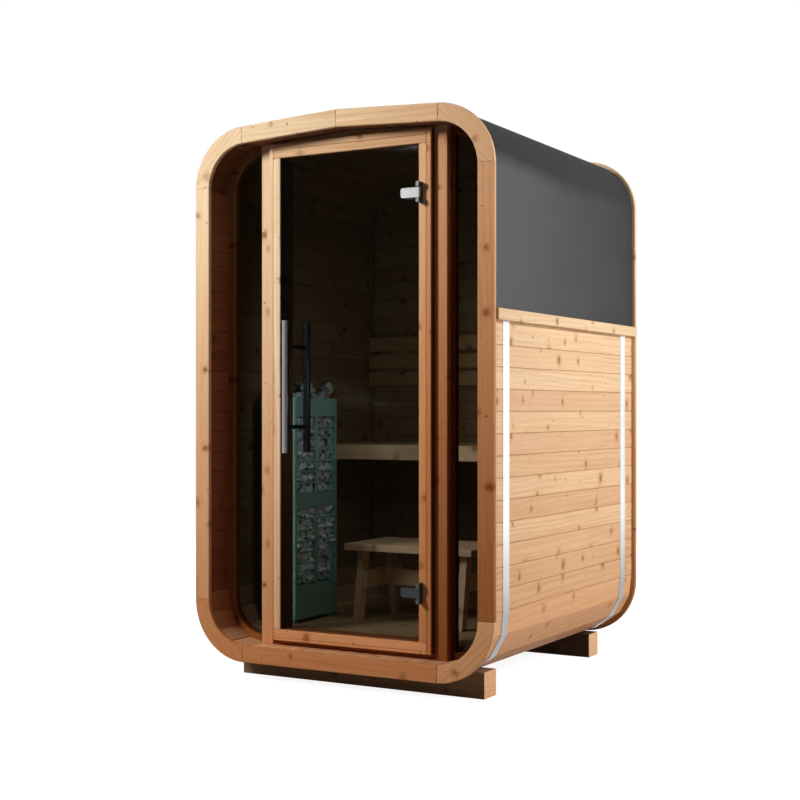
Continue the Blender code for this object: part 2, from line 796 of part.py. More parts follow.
# Rows of openings in the front and the right side, in two sections with a band between them
def make_heater_slots(left, right, front, back, low, material):
    row_height = (heater_height - heater_skirt - heater_band - heater_collar) / (2 * heater_rows)
    middle = (front + back) / 2
    spans = ((front + heater_post, middle - heater_post / 2),
             (middle + heater_post / 2, back - heater_post))
    bm = bmesh.new()
    for section in range(2):
        base = low + heater_skirt + section * (heater_rows * row_height + heater_band)
        for row in range(heater_rows):
            z0 = base + row * row_height + heater_bar / 2
            z1 = base + (row + 1) * row_height - heater_bar / 2
            for y0, y1 in spans:
                add_block(bm, (right - heater_cut_depth, y0, z0), (right + heater_sheet, y1, z1))
            add_block(bm, (left + heater_post, front - heater_sheet, z0),
                      (right - heater_post, front + heater_cut_depth, z1))
    return add_object("heater_slots", bm, material)


def add_heater_feet(tower, left, right, front, back, low, material):
    for side, word in ((-1, "left"), (1, "right")):
        for end, place in ((-1, "front"), (1, "back")):
            edge_x = left if side < 0 else right
            edge_y = front if end < 0 else back
            xs = sorted((edge_x - side * heater_foot_inset,
                         edge_x - side * (heater_foot_inset + heater_foot_size)))
            ys = sorted((edge_y - end * heater_foot_inset,
                         edge_y - end * (heater_foot_inset + heater_foot_size)))
            foot = make_box(f"heater_{word}_{place}_foot", (xs[0], ys[0], floor_top + touch),
                            (xs[1], ys[1], low + touch), material)
            add_boolean(tower, foot, "UNION")


# Bench between the side walls, on a cleat at each end, with a board along its front
def build_bench(materials):
    wood = materials["inner"]
    wall_x = half_width - stave_in
    back_y = back_wall_front_y - touch
    low = bench_top - bench_board
    seat = make_box("bench", (-wall_x + touch, bench_front_y, low),
                    (wall_x - touch, back_y, bench_top), wood)
    front = make_box("bench_front_board",
                     (-wall_x + touch * 2, bench_front_y, bench_top - bench_front_height),
                     (wall_x - touch * 2, bench_front_y + bench_board, low + touch), wood)
    add_boolean(seat, front, "UNION")
    for side, word in ((-1, "left"), (1, "right")):
        ends = sorted((side * (wall_x - touch * 2), side * (wall_x - touch - cleat_thickness)))
        cleat = make_box(f"bench_{word}_cleat", (ends[0], bench_front_y + bench_board, low - cleat_height),
                         (ends[1], back_y - touch, low + touch), wood)
        add_boolean(seat, cleat, "UNION")


# Backrest: three slats on two upright cleats against the back wall
def build_backrest(materials):
    wood = materials["inner"]
    reach = half_width - stave_in - backrest_side_gap
    back_y = back_wall_front_y - touch
    slat_back = back_y - backrest_cleat_thickness
    pitch = slat_height + slat_gap
    top = slat_low + 2 * pitch + slat_height
    rest = make_box("backrest", (-reach, slat_back - slat_thickness, slat_low),
                    (reach, slat_back, slat_low + slat_height), wood)
    for index in (1, 2):
        z = slat_low + index * pitch
        slat = make_box(f"backrest_slat_{index + 1}", (-reach, slat_back - slat_thickness, z),
                        (reach, slat_back, z + slat_height), wood)
        add_boolean(rest, slat, "UNION")
    for side, word in ((-1, "left"), (1, "right")):
        x = side * backrest_cleat_x
        cleat = make_box(f"backrest_cleat_{word}",
                         (x - backrest_cleat_width / 2, slat_back - touch, slat_low + slat_gap),
                         (x + backrest_cleat_width / 2, back_y, top - slat_gap), wood)
        add_boolean(rest, cleat, "UNION")


# Step stool: a plain top on two splayed end frames joined by a stretcher
def build_stool(materials):
    wood = materials["inner"]
    left, right = stool_left_x, stool_left_x + stool_width
    front, back = stool_front_y, stool_front_y + stool_depth
    soften(make_box("stool_top", (left, front, stool_top_z - stool_top_thickness),
                    (right, back, stool_top_z), wood))
    leg_left = left + stool_leg_inset
    leg_right = right - stool_leg_inset - stool_leg_thickness
    legs = make_stool_leg("stool_legs", leg_left, front, stool_splay, wood)
    back_foot = back - stool_leg_width
    others = [make_stool_leg("stool_left_back_leg", leg_left, back_foot, -stool_splay, wood),
              make_stool_leg("stool_right_front_leg", leg_right, front, stool_splay, wood),
              make_stool_leg("stool_right_back_leg", leg_right, back_foot, -stool_splay, wood)]
    rail_left = leg_left + stool_leg_thickness
    rail_right = leg_right - stool_rail_thickness
    ends = (front + stool_rail_setback, back - stool_rail_setback)
    others.append(make_stool_rail("stool_left_rail", rail_left, ends, wood))
    others.append(make_stool_rail("stool_right_rail", rail_right, ends, wood))
    middle_y = (front + back) / 2
    half_height = stool_stretcher_height / 2
    others.append(make_box("stool_stretcher",
                           (rail_left + stool_rail_thickness - touch, middle_y - stool_rail_thickness / 2,
                            stool_rail_z - half_height),
                           (rail_right + touch, middle_y + stool_rail_thickness / 2,
                            stool_rail_z + half_height), wood))
    for piece in others:
        add_boolean(legs, piece, "UNION")


def make_stool_leg(name, left_x, foot_y, lean, material):
    foot_z = floor_top + touch
    high_z = stool_top_z - stool_top_thickness - touch
    outline = [(foot_y, foot_z), (foot_y + stool_leg_width, foot_z),
               (foot_y + lean + stool_leg_width, high_z), (foot_y + lean, high_z)]
    return make_crosswise(name, outline, left_x, left_x + stool_leg_thickness, material)


def make_stool_rail(name, left_x, ends, material):
    half_height = stool_rail_height / 2
    return make_box(name, (left_x - touch, ends[0], stool_rail_z - half_height),
                    (left_x + stool_rail_thickness + touch, ends[1], stool_rail_z + half_height), material)


def clear_scene():
    for thing in list(bpy.data.objects):
        bpy.data.objects.remove(thing, do_unlink=True)


# Stand the cabin over the origin, which is under its middle
def centre_on_origin():
    for thing in bpy.data.objects:
        if thing.parent is None:
            thing.location.y -= cabin_depth / 2


def build_cabin():
    clear_scene()
    materials = make_materials()
    build_beams(materials)
    build_shell(materials)
    build_front_ring(materials)
    build_rear_ring(materials)
    build_cover(materials)
    build_battens(materials)
    build_bands(materials)
    build_back_wall(materials)
    build_front_wall(materials)
    build_casing(materials)
    build_windows(materials)
    build_door(materials)
    build_floor(materials)
    build_heater(materials)
    build_bench(materials)
    build_backrest(materials)
    build_stool(materials)
    centre_on_origin()


build_cabin()
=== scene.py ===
import math
import random

import bpy
from mathutils import Euler, Matrix, Vector


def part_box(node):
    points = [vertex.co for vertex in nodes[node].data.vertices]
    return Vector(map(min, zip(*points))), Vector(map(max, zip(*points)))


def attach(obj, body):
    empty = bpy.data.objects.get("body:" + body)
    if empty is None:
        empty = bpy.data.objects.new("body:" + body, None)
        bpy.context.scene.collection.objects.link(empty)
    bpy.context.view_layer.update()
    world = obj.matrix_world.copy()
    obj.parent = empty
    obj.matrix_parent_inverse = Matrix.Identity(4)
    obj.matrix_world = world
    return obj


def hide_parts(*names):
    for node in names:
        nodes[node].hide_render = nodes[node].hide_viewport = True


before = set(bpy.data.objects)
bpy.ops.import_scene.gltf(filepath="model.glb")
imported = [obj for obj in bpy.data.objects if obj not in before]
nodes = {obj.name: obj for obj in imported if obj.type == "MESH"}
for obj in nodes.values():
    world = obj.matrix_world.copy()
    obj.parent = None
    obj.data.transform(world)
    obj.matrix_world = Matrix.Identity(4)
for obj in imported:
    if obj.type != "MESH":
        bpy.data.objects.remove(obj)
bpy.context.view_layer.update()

axes = {"x": 0, "y": 1, "z": 2}
dice = random.Random(11)        # for the boards and the stones
toss = random.Random(5)         # for the grain of the CAD pieces
grainShift = {"boards": 40, "pieces": 30}       # how far the grain of each may be shifted

# metres within which two places count as one
slack = {"shift": 1e-6, "level": 1e-5, "points": 5e-5, "joint": 1e-4}


# small helpers for operators

def letGo():
    if bpy.context.mode != "OBJECT":
        bpy.ops.object.mode_set(mode="OBJECT")
    bpy.ops.object.select_all(action="DESELECT")


def take(piece):
    letGo()
    piece.select_set(True)
    bpy.context.view_layer.objects.active = piece


# selects by a test on points, edges or faces, and stays in edit mode
def pick(piece, vertTest=None, edgeTest=None, faceTest=None):
    take(piece)
    bpy.ops.object.mode_set(mode="EDIT")
    kind = "VERT" if vertTest else "EDGE" if edgeTest else "FACE"
    bpy.ops.mesh.select_mode(type=kind)
    bpy.ops.mesh.select_all(action="DESELECT")
    bpy.ops.object.mode_set(mode="OBJECT")
    mesh = piece.data
    if vertTest:
        for vert in mesh.vertices:
            vert.select = vertTest(vert.co)
    if edgeTest:
        for edge in mesh.edges:
            a, b = (mesh.vertices[i].co for i in edge.vertices)
            edge.select = edgeTest(a, b)
    if faceTest:
        for face in mesh.polygons:
            face.select = faceTest(face)
    bpy.ops.object.mode_set(mode="EDIT")


def addBlock(name, low, high):
    letGo()
    middle = [(a + b) / 2 for a, b in zip(low, high)]
    bpy.ops.mesh.primitive_cube_add(size=1.0, location=middle)
    block = bpy.context.active_object
    block.name = name
    block.scale = [b - a for a, b in zip(low, high)]
    bpy.ops.object.transform_apply(location=True, rotation=True, scale=True)
    return block


def softEdges(piece, width, edgeTest):
    pick(piece, edgeTest=edgeTest)
    bpy.ops.mesh.bevel(offset=width, segments=1, affect="EDGES")
    bpy.ops.object.mode_set(mode="OBJECT")


def copyOf(piece, matrix=None):
    twin = piece.copy()
    twin.data = piece.data.copy()
    bpy.context.collection.objects.link(twin)
    if matrix is not None:
        twin.data.transform(matrix)
    return twin


def joined(pieces, name):
    letGo()
    for piece in pieces:
        piece.select_set(True)
    bpy.context.view_layer.objects.active = pieces[0]
    bpy.ops.object.join()
    whole = bpy.context.view_layer.objects.active
    whole.name = name
    whole.data.name = name
    return whole


def discard(piece):
    mesh = piece.data
    bpy.data.objects.remove(piece)
    bpy.data.meshes.remove(mesh)


# every board keeps its own place for the grain, its own tone, where its joints darken,
# and how much painted shade its inner side takes
def markBoard(board, isJoint, isInner, inner, along="y", across="x"):
    mesh = board.data
    a, c = axes[along], axes[across]
    d = 3 - a - c
    shift = Vector([dice.uniform(0, grainShift["boards"]) for _ in range(3)])
    tone = dice.random()
    mesh.attributes.new("boardPlace", "FLOAT_VECTOR", "POINT")
    for name in ("boardTone", "boardJoint", "boardInnerShade"):
        mesh.attributes.new(name, "FLOAT", "POINT")
    layers = mesh.attributes
    for vert in mesh.vertices:
        place = Vector((vert.co[a], vert.co[c], vert.co[d])) + shift
        layers["boardPlace"].data[vert.index].vector = place
        layers["boardTone"].data[vert.index].value = tone
        layers["boardJoint"].data[vert.index].value = 1.0 if isJoint(vert.co) else 0.0
        layers["boardInnerShade"].data[vert.index].value = inner if isInner(vert.co) else 0.0


# small helpers for materials

noiseSpan = (0.3, 0.7)      # where most of a noise pattern lies
white = (1.0, 1.0, 1.0)


def newFinish(name):
    finish = bpy.data.materials.new(name)
    finish.use_nodes = True
    finish.node_tree.nodes.clear()
    return finish, finish.node_tree


def addNode(tree, kind, feeds=None, **settings):
    node = tree.nodes.new(kind)
    for name, value in settings.items():
        setattr(node, name, value)
    for name, value in (feeds or {}).items():
        socket = node.inputs[name]
        if isinstance(value, bpy.types.NodeSocket):
            tree.links.new(value, socket)
        else:
            socket.default_value = value
    return node


def maths(tree, operation, a, b=None):
    feeds = {0: a}
    if b is not None:
        feeds[1] = b
    return addNode(tree, "ShaderNodeMath", feeds, operation=operation).outputs[0]


def product(tree, a, b):
    return maths(tree, "MULTIPLY", a, b)


def vectorMaths(tree, operation, a, b=None):
    feeds = {0: a}
    if b is not None:
        feeds[1] = b
    node = addNode(tree, "ShaderNodeVectorMath", feeds, operation=operation)
    return node.outputs["Value"] if operation == "LENGTH" else node.outputs[0]


# brings a value from one span to another
def spread(tree, value, span, result=(0.0, 1.0)):
    feeds = {"Value": value, "From Min": span[0], "From Max": span[1],
             "To Min": result[0], "To Max": result[1]}
    return addNode(tree, "ShaderNodeMapRange", feeds).outputs[0]


def noise(tree, place, scale, detail=2.0, rough=0.5):
    if isinstance(scale, tuple):
        place, scale = vectorMaths(tree, "MULTIPLY", place, scale), 1.0
    feeds = {"Vector": place, "Scale": scale, "Detail": detail, "Roughness": rough}
    return addNode(tree, "ShaderNodeTexNoise", feeds).outputs["Fac"]


def objectPlace(tree):
    return addNode(tree, "ShaderNodeTexCoord").outputs["Object"]


def surfaceTurn(tree):
    return addNode(tree, "ShaderNodeNewGeometry").outputs["Normal"]


def attribute(tree, name):
    return addNode(tree, "ShaderNodeAttribute", attribute_name=name)


def axisOf(tree, vector, index):
    return addNode(tree, "ShaderNodeSeparateXYZ", {"Vector": vector}).outputs[index]


def rgba(colour):
    return (*colour, 1.0)


def grey(tree, level):
    return addNode(tree, "ShaderNodeCombineColor", {0: level, 1: level, 2: level}).outputs[0]


def blended(tree, amount, a, b, mode="MIX"):
    feeds = {"Factor": amount, 6: a, 7: b}
    return addNode(tree, "ShaderNodeMix", feeds, data_type="RGBA", blend_type=mode).outputs[2]


def tinted(tree, base, tint, amount=None):
    # without an amount the tint counts everywhere
    full = blended(tree, 1.0, base, tint, "MULTIPLY")
    return full if amount is None else blended(tree, amount, base, full)


def bumped(tree, height, strength, distance, before=None):
    feeds = {"Strength": strength, "Distance": distance, "Height": height}
    if before is not None:
        feeds["Normal"] = before
    return addNode(tree, "ShaderNodeBump", feeds).outputs[0]


def shaded(finish, tree, base, rough, others):
    shader = addNode(tree, "ShaderNodeBsdfPrincipled",
                     {"Base Color": base, "Roughness": rough, **others})
    addNode(tree, "ShaderNodeOutputMaterial", {"Surface": shader.outputs[0]})
    return finish


def paint(piece, finish):
    if not piece.data.materials:
        piece.data.materials.append(finish)
    for slot in piece.material_slots:
        slot.material = finish


wood = {
    "pale": (0.94, 0.71, 0.45),
    "honey": (0.86, 0.60, 0.36),
    "pink": (0.80, 0.505, 0.33),
    "late": (0.60, 0.33, 0.14),
    "knot": (0.23, 0.10, 0.033),
    "knotRim": (0.52, 0.28, 0.11),
    "joint": (0.24, 0.11, 0.045),
    "jointDepth": 0.55,
    # knots a metre along and across, their radius, the share of places that stay clear,
    # how wide they are for their length, where their edge fades and how strong they are
    "big": {"cells": (3.3, 13.1), "size": (0.0070, 0.0185), "clear": 0.28, "squeeze": 0.85,
            "edge": (0.55, 1.30), "depth": 0.80},
    "pin": {"cells": (7.0, 21.0), "size": (0.0018, 0.0042), "clear": 0.74, "squeeze": 0.75,
            "edge": (0.60, 1.25), "depth": 0.85},
    "knotScatter": 0.9,
    "knotStrength": (0.45, 1.0),
    "knotHeart": (0.15, 0.85),
    "halo": (0.9, 2.4),
    "haloDepth": 0.30,
    "ragged": (0.72, 1.28),
    # the scale, detail and roughness of each pattern
    "raggedNoise": ((110.0, 110.0, 40.0), 1.0),
    "wanderNoise": ((0.55, 4.5, 4.0), 1.0, 0.4),
    "rippleNoise": ((4.0, 22.0, 14.0), 1.0),
    "patchNoise": ((0.9, 7.0, 4.0), 1.0),
    "fibreNoise": ((7.0, 330.0, 330.0), 3.0, 0.65),
    "streakNoise": ((1.6, 60.0, 60.0), 2.0),
    "blotchNoise": ((2.0, 8.0, 4.0), 2.0),
    # growth lines
    "lines": 46.0,                  # a metre across
    "lineDepth": 0.34,
    "lineSharpness": 1.8,
    "wander": 6.5,
    "ripple": 0.7,
    "parting": 1.3,                 # how far the lines part round a large knot
    "partingReach": 0.017,
    "patches": (0.40, 0.66),        # the lines are faint in patches
    "patchStrength": (0.10, 1.0),
    # fibres, streaks and blotches
    "fibreStrength": (0.88, 1.06),
    "streaks": (0.45, 0.75),
    "streakDepth": 0.28,
    "blotches": (0.38, 0.72),
    "blotchDepth": 0.35,
    # how painted shade changes the wood over the cabin
    "paintedFalloff": (0.86, 0.49, 0.29),     # painted shade: what it turns to near the ground and toward the right
    "falloffHeight": (1.75, 0.1),
    "falloffCurve": 0.8,
    "falloffAcross": (-0.2, 0.6),
    "groundShadeTint": (1.0, 1.12, 1.25),  # the painted ground shade takes more of the green and the blue
    "shadeFrom": (-0.603, -0.598),  # painted shade: the casing darkens behind its front face
    "shadeTint": (1.0, 0.72, 0.55), # and that painted shade leaves less of the green and the blue
    "sideShadeTurn": (0.4, 0.8),
    "porch": (0.39, 0.228, 0.182),  # painted shade of faces that look into the porch
    "room": (0.29, 0.268, 0.21),    # painted shade of faces that look into the room
    "roomFrom": (-0.55, -0.53),     # where the porch ends and the room starts
    "roomTo": (0.560, 0.570),       # where the room ends at the back wall
    # surface
    "roughness": (0.50, 0.68),
    "gloss": 0.05,
    "bump": (0.55, 0.0006),         # strength and height
    "bumpFibres": 0.6,
    "bumpLines": 0.35,
    "bumpKnots": 0.5,
}


# knots round scattered places, measured in metres: how far out of the nearest one a point is
# for its size, how strong that one shows, the distance to it, and whether it is there
def scatterKnots(tree, place, kind, ragged):
    across = 1.0 / kind["cells"][0], kind["squeeze"] / kind["cells"][1]
    flat = vectorMaths(tree, "MULTIPLY", place, (*kind["cells"], 0.0))
    scatter = addNode(tree, "ShaderNodeTexVoronoi",
                      {"Vector": flat, "Scale": 1.0, "Randomness": wood["knotScatter"]},
                      voronoi_dimensions="2D", feature="F1")
    away = vectorMaths(tree, "SUBTRACT", flat, scatter.outputs["Position"])
    away = vectorMaths(tree, "MULTIPLY", away, (*across, 0.0))
    distance = product(tree, vectorMaths(tree, "LENGTH", away), ragged)
    chance = addNode(tree, "ShaderNodeSeparateColor", {"Color": scatter.outputs["Color"]})
    size = spread(tree, chance.outputs[0], (kind["clear"], 1.0), kind["size"])
    there = maths(tree, "GREATER_THAN", chance.outputs[0], kind["clear"])
    strength = product(tree, spread(tree, chance.outputs[1], (0.0, 1.0), wood["knotStrength"]), there)
    return maths(tree, "DIVIDE", distance, size), strength, distance, there


# growth lines wander along the board and part round the knots
def growthLines(tree, place, look, distance, there):
    wander = noise(tree, place, *look["wanderNoise"])
    ripple = noise(tree, place, *look["rippleNoise"])
    field = product(tree, axisOf(tree, place, 1), look["lines"])
    field = maths(tree, "ADD", field, product(tree, wander, look["wander"]))
    field = maths(tree, "ADD", field, product(tree, ripple, look["ripple"]))
    near = maths(tree, "POWER", maths(tree, "DIVIDE", distance, look["partingReach"]), 2.0)
    swell = product(tree, maths(tree, "EXPONENT", product(tree, near, -1.0)), there)
    field = maths(tree, "ADD", field, product(tree, swell, look["parting"]))
    wave = maths(tree, "SINE", product(tree, field, 2 * math.pi))
    lines = maths(tree, "POWER", spread(tree, wave, (-1.0, 1.0)), look["lineSharpness"])
    patches = noise(tree, place, *look["patchNoise"])
    return product(tree, lines, spread(tree, patches, look["patches"], look["patchStrength"]))


# softwood with growth lines, fibres and knots, its grain along the first axis of the pattern;
# without a turn it reads what markBoard wrote. The rest is painted shade: how far it turns warmer
# and darker near the ground, toward the right and all over, where the light falls off; darker
# still near the ground; darker behind the casing's front face; and darker on its long sides
def woodFinish(name, turn=None, shift=None, tone=None, tint=white, paintedFalloff=(0.0, 0.0, 0.0),
               paintedGroundShade=0.0, shade=1.0, paintedSideShade=None, look=wood):
    finish, tree = newFinish(name)
    source = objectPlace(tree)
    ofBoards = turn is None
    if ofBoards:
        place = attribute(tree, "boardPlace").outputs["Vector"]
        tone = attribute(tree, "boardTone").outputs["Fac"]
    else:
        feeds = {"Vector": source, "Rotation": turn, "Location": shift}
        place = addNode(tree, "ShaderNodeMapping", feeds, vector_type="POINT").outputs[0]

    ragged = spread(tree, noise(tree, place, *look["raggedNoise"]), noiseSpan, look["ragged"])
    reach, strength, distance, there = scatterKnots(tree, place, look["big"], ragged)
    bigMask = product(tree, spread(tree, reach, look["big"]["edge"], (1.0, 0.0)), strength)
    halo = product(tree, spread(tree, reach, look["halo"], (1.0, 0.0)), strength)
    heart = blended(tree, spread(tree, reach, look["knotHeart"]), rgba(look["knot"]),
                    rgba(look["knotRim"]))
    pinReach, pinStrength = scatterKnots(tree, place, look["pin"], ragged)[:2]
    pinMask = product(tree, spread(tree, pinReach, look["pin"]["edge"], (1.0, 0.0)), pinStrength)
    lines = growthLines(tree, place, look, distance, there)
    fibres = noise(tree, place, *look["fibreNoise"])
    streaks = noise(tree, place, *look["streakNoise"])
    blotches = noise(tree, place, *look["blotchNoise"])

    # colour
    late = rgba(look["late"])
    base = blended(tree, spread(tree, tone, (0.0, 0.5)), rgba(look["pale"]), rgba(look["honey"]))
    base = blended(tree, spread(tree, tone, (0.5, 1.0)), base, rgba(look["pink"]))
    base = blended(tree, spread(tree, blotches, look["blotches"], (0.0, look["blotchDepth"])),
                   base, rgba(look["honey"]))
    base = blended(tree, spread(tree, streaks, look["streaks"], (0.0, look["streakDepth"])),
                   base, late)
    base = blended(tree, product(tree, lines, look["lineDepth"]), base, late)
    base = tinted(tree, base, grey(tree, spread(tree, fibres, noiseSpan, look["fibreStrength"])))
    base = blended(tree, product(tree, halo, look["haloDepth"]), base, late)
    base = blended(tree, product(tree, bigMask, look["big"]["depth"]), base, heart)
    base = blended(tree, product(tree, pinMask, look["pin"]["depth"]), base, rgba(look["knot"]))

    # painted shade: warmer and darker toward the ground and toward the right, where the light falls
    # off
    nearGround = spread(tree, axisOf(tree, source, 2), look["falloffHeight"])
    low = product(tree, maths(tree, "POWER", nearGround, look["falloffCurve"]), paintedFalloff[0])
    right = spread(tree, axisOf(tree, source, 0), look["falloffAcross"], (0.0, paintedFalloff[1]))
    clear = product(tree, maths(tree, "SUBTRACT", 1.0, low), maths(tree, "SUBTRACT", 1.0, right))
    amount = maths(tree, "SUBTRACT", 1.0 + paintedFalloff[2], clear)

    # dark joints, and painted shade on faces that look into the porch or the room; faces inside the
    # room take none of the painted falloff
    if ofBoards:
        joint = attribute(tree, "boardJoint").outputs["Fac"]
        base = blended(tree, product(tree, joint, look["jointDepth"]), base, rgba(look["joint"]))
        depth = axisOf(tree, source, 1)
        room = spread(tree, depth, look["roomFrom"])
        inner = product(tree, attribute(tree, "boardInnerShade").outputs["Fac"],
                        spread(tree, depth, look["roomTo"], (1.0, 0.0)))
        innerShade = blended(tree, room, rgba(look["porch"]), rgba(look["room"]))
        base = tinted(tree, base, blended(tree, inner, rgba(white), innerShade))
        inRoom = product(tree, room, inner)
        amount = product(tree, amount, maths(tree, "SUBTRACT", 1.0, inRoom))
    base = tinted(tree, base, blended(tree, amount, rgba(white), rgba(look["paintedFalloff"])))
    base = tinted(tree, base, rgba(tint))
    # painted shade: darker near the ground
    if paintedGroundShade:
        deep = rgba([1.0 - paintedGroundShade * share for share in look["groundShadeTint"]])
        base = tinted(tree, base, deep, nearGround)
    # painted shade behind the casing's front face
    if shade < 1.0:
        dark = rgba([shade * share for share in look["shadeTint"]])
        base = tinted(tree, base, dark, spread(tree, axisOf(tree, source, 1), look["shadeFrom"]))
    # painted shade on the long sides
    if paintedSideShade:
        sideways = maths(tree, "ABSOLUTE", axisOf(tree, surfaceTurn(tree), 0))
        base = tinted(tree, base, rgba(paintedSideShade), spread(tree, sideways, look["sideShadeTurn"], (1.0, 0.0)))

    # sheen and relief
    rough = spread(tree, fibres, noiseSpan, look["roughness"])
    height = maths(tree, "ADD", product(tree, fibres, look["bumpFibres"]),
                   product(tree, lines, look["bumpLines"]))
    height = maths(tree, "SUBTRACT", height, product(tree, bigMask, look["bumpKnots"]))
    relief = bumped(tree, height, *look["bump"])
    return shaded(finish, tree, base, rough,
                  {"Normal": relief, "Specular IOR Level": look["gloss"]})


def grainTurn(along, across):
    a, c = Vector(along).normalized(), Vector(across).normalized()
    return Matrix((a, c, a.cross(c))).to_euler()


metal = {
    "upright": (420.0, 420.0, 4.0),     # the fine lines of a surface drawn along Z
    "crosswise": (4.0, 420.0, 420.0),   # along X
    "sheet": (5.0, 5.0, 300.0),
    "band": (3.0, 260.0, 3.0),
    "drawnNoise": (2.0, 0.6),           # detail and roughness of these lines
    "cloudNoise": (7.0, 3.0),
    "cloudSpan": (0.35, 0.68),
    "cloudShare": 0.86,
    "drawnSwing": (-0.05, 0.07),        # how far the lines change the roughness
    "cloudSwing": (-0.03, 0.05),        # and the clouds, over their own span
    "swingSpan": (0.35, 0.65),
    "bump": (0.4, 0.0002),
}


# steel drawn smooth along one axis. Painted shade toward one end: an axis, where the darker part
# ends, where the full colour starts, the darker share. Painted light and shade by the turn of the
# surface: an axis, the turn of the surface toward it at which another share of the colour starts
# and is full, that share
def steelFinish(name, colour, roughness, metallic, stretch, paintedShadeFall=None, paintedTurnShading=None):
    finish, tree = newFinish(name)
    place = objectPlace(tree)
    drawn = noise(tree, place, stretch, *metal["drawnNoise"])
    cloud = noise(tree, place, *metal["cloudNoise"])
    swing = [roughness + change for change in metal["drawnSwing"]]
    rough = maths(tree, "ADD", spread(tree, drawn, noiseSpan, swing),
                  spread(tree, cloud, metal["swingSpan"], metal["cloudSwing"]))
    darker = [level * metal["cloudShare"] for level in colour]
    base = blended(tree, spread(tree, cloud, metal["cloudSpan"]), rgba(colour), rgba(darker))
    # painted shade toward one end
    if paintedShadeFall:
        axis, low, high, share = paintedShadeFall
        below = spread(tree, axisOf(tree, place, axes[axis]), (high, low))
        base = tinted(tree, base, rgba([share] * 3), below)
    # painted light and shade by the turn of the surface
    if paintedTurnShading:
        axis, start, full, share = paintedTurnShading
        turned = spread(tree, axisOf(tree, surfaceTurn(tree), axes[axis]), (start, full))
        base = tinted(tree, base, rgba([share] * 3), turned)
    relief = bumped(tree, drawn, *metal["bump"])
    return shaded(finish, tree, base, rough, {"Normal": relief, "Metallic": metallic})


roofing = {
    # painted shade: lighter at the front, darker toward the rear and on top
    "front": (0.104, 0.104, 0.106),
    "rear": (0.033, 0.033, 0.034),
    "shadeFrontToRear": (-0.70, 0.75),
    "top": (0.034, 0.034, 0.036),       # painted shade on the roof, above the sides
    "topShadeFrom": (1.83, 1.89),
    "cloudNoise": ((2.0, 1.3, 2.4), 3.0),
    "cloudShift": (-0.16, 0.16),        # how far the edges of the painted shade wander
    "topShift": 0.2,                    # the share of that at the roof
    "grainNoise": (900.0, 2.0, 0.7),
    "grainSpan": (0.35, 0.65),
    "grainStrength": (0.88, 1.12),
    "foldNoise": ((3.0, 1.2, 5.0), 1.0),
    "roughness": (0.62, 0.82),
    "gloss": 0.08,
    "foldBump": (0.35, 0.004),
    "grainBump": (0.5, 0.0006),
}


# charcoal roofing sheet with a fine mineral grain, and painted shade that darkens it toward the rear
# and over the top
def sheetFinish(name):
    finish, tree = newFinish(name)
    place = objectPlace(tree)
    grit = noise(tree, place, *roofing["grainNoise"])
    cloud = noise(tree, place, *roofing["cloudNoise"])
    fold = noise(tree, place, *roofing["foldNoise"])
    wave = spread(tree, cloud, noiseSpan, roofing["cloudShift"])
    along = maths(tree, "ADD", axisOf(tree, place, 1), wave)
    # painted shade: darker toward the rear and over the top
    base = blended(tree, spread(tree, along, roofing["shadeFrontToRear"]), rgba(roofing["front"]),
                   rgba(roofing["rear"]))
    rise = maths(tree, "ADD", axisOf(tree, place, 2), product(tree, wave, roofing["topShift"]))
    base = blended(tree, spread(tree, rise, roofing["topShadeFrom"]), base, rgba(roofing["top"]))
    speck = spread(tree, grit, roofing["grainSpan"], roofing["grainStrength"])
    base = tinted(tree, base, grey(tree, speck))
    rough = spread(tree, grit, noiseSpan, roofing["roughness"])
    folds = bumped(tree, fold, *roofing["foldBump"])
    relief = bumped(tree, grit, *roofing["grainBump"], folds)
    return shaded(finish, tree, base, rough,
                  {"Normal": relief, "Specular IOR Level": roofing["gloss"]})


glazing = {
    "colour": (0.0025, 0.0022, 0.0015),
    "hold": (0.262, 0.278),     # how much each face of the glass holds back
    "gloss": 0.02,
    "filmNoise": ((6.0, 6.0, 3.0), 4.0, 0.6),
    "filmSpan": (0.35, 0.7),
    "roughness": (0.015, 0.05),
    "bend": 1.5,
}


# tinted glass, with the faintest film of dust that changes its gloss
def glassFinish(name):
    finish, tree = newFinish(name)
    film = noise(tree, objectPlace(tree), *glazing["filmNoise"])
    rough = spread(tree, film, glazing["filmSpan"], glazing["roughness"])
    hold = spread(tree, film, noiseSpan, glazing["hold"])
    return shaded(finish, tree, rgba(glazing["colour"]), rough,
                  {"Alpha": hold, "Specular IOR Level": glazing["gloss"], "IOR": glazing["bend"]})


stone = {
    "pale": (0.84, 1.0, 1.0),
    "deep": (0.09, 0.15, 0.15),
    "mottleNoise": (38.0, 4.0, 0.6),
    "mottleSpan": (0.50, 0.60),
    "fleckNoise": (320.0, 2.0, 0.7),
    "fleckSpan": (0.55, 0.75),
    "fleckDepth": 0.6,
    "sooty": (0.60, 1.05),      # from here up the stones turn darker
    "sootShare": 0.40,
    "roughness": (0.38, 0.70),
    "gloss": 0.5,
    "bump": (0.7, 0.003),
    "bumpFlecks": 0.35,
}


